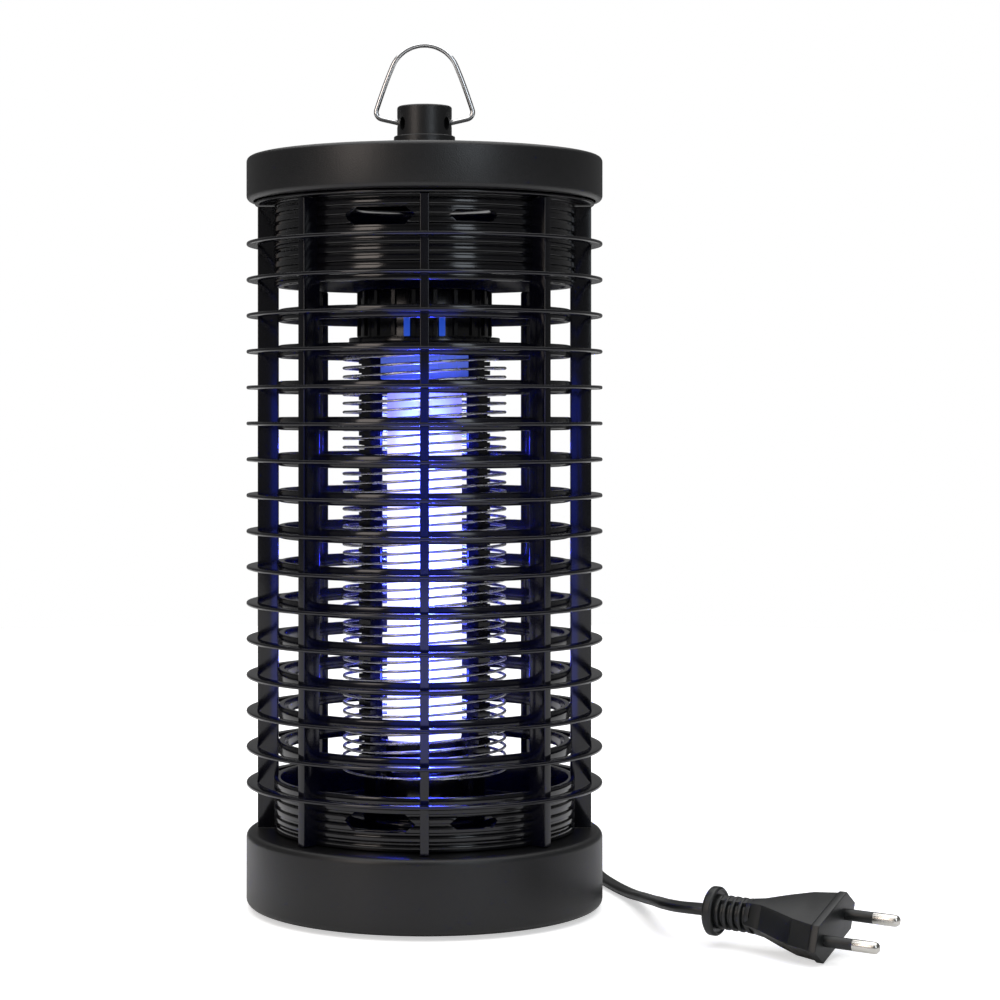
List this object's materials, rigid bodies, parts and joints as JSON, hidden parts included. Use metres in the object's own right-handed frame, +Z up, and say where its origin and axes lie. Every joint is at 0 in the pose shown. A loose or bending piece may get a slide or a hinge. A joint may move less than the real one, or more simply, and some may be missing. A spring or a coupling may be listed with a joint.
{
  "type": "electric bug zapper",
  "caption": "Round lantern-style mains bug zapper: ringed cage, ultraviolet lamp in a wire grid, wire bail on top, flat lead and Europlug.",
  "frame": {"origin": "on the floor, on the lantern's vertical axis", "axes": "+Z up along the lantern's axis, the front towards -Y, the cord leaves towards +Y"},
  "size_m": [0.2222, 0.2835, 0.3153],
  "materials": {
    "satin_abs": "fine spark texture",
    "gloss_abs": "gloss",
    "bail_steel": "polished wire",
    "grid_steel": "bright drawn wire",
    "lamp_glass": "phosphor-coated tube, lit",
    "lamp_socket_plastic": "satin",
    "foot_rubber": "matt",
    "cord_pvc": "satin black PVC",
    "pin_nickel": "nickel plate, black sleeves near the plug"
  },
  "bodies": {
    "base": {"base_shell": "satin_abs", "bottom_plate": "satin_abs", "foot_1": "foot_rubber", "foot_2": "foot_rubber", "foot_3": "foot_rubber", "cord_gland": "cord_pvc", "catch_tray": "gloss_abs", "grid_tower": "gloss_abs", "live_grid": "grid_steel", "neutral_grid": "grid_steel", "cord_from_gland": "cord_pvc", "cord_to_plug": "cord_pvc", "cord_coil": "cord_pvc", "plug_body": "cord_pvc", "plug_pin_1": "pin_nickel", "plug_pin_2": "pin_nickel"},
    "cage": {"ring_1": "gloss_abs", "ring_2": "gloss_abs", "ring_3": "gloss_abs", "ring_4": "gloss_abs", "ring_5": "gloss_abs", "ring_6": "gloss_abs", "ring_7": "gloss_abs", "ring_8": "gloss_abs", "ring_9": "gloss_abs", "ring_10": "gloss_abs", "ring_11": "gloss_abs", "ring_12": "gloss_abs", "ring_13": "gloss_abs", "ring_14": "gloss_abs", "ring_15": "gloss_abs", "ring_16": "gloss_abs", "inner_ring_3": "gloss_abs", "inner_ring_4": "gloss_abs", "inner_ring_5": "gloss_abs", "inner_ring_6": "gloss_abs", "inner_ring_7": "gloss_abs", "inner_ring_8": "gloss_abs", "inner_ring_9": "gloss_abs", "inner_ring_10": "gloss_abs", "inner_ring_11": "gloss_abs", "inner_ring_12": "gloss_abs", "inner_ring_13": "gloss_abs", "inner_ring_14": "gloss_abs", "inner_ring_15": "gloss_abs", "rib_1": "gloss_abs", "rib_2": "gloss_abs", "rib_3": "gloss_abs", "rib_4": "gloss_abs", "rib_5": "gloss_abs", "rib_6": "gloss_abs", "rib_7": "gloss_abs", "rib_8": "gloss_abs", "upper_collar": "gloss_abs", "lower_collar": "gloss_abs"},
    "cap": {"cap_shell": "satin_abs"},
    "bail": {"bail": "bail_steel"},
    "lamp": {"lamp_cap": "lamp_socket_plastic", "lamp_tube": "lamp_glass"}
  },
  "joints": [
    {"name": "cage_twist", "type": "hinge", "parent": "base", "child": "cage", "pos_m": [0, 0, 0.0285], "axis": [0, 0, 1], "range_deg": [0, 18]},
    {"name": "cap_twist", "type": "hinge", "parent": "cage", "child": "cap", "pos_m": [0, 0, 0.2569], "axis": [0, 0, 1], "range_deg": [0, 18]},
    {"name": "bail_swing", "type": "hinge", "parent": "cap", "child": "bail", "pos_m": [0, 0, 0.286], "axis": [1, 0, 0], "range_deg": [-95, 95]},
    {"name": "lamp_pull", "type": "slide", "parent": "base", "child": "lamp", "axis": [0, 0, -1], "range_m": [0, 0.009]}
  ]
}
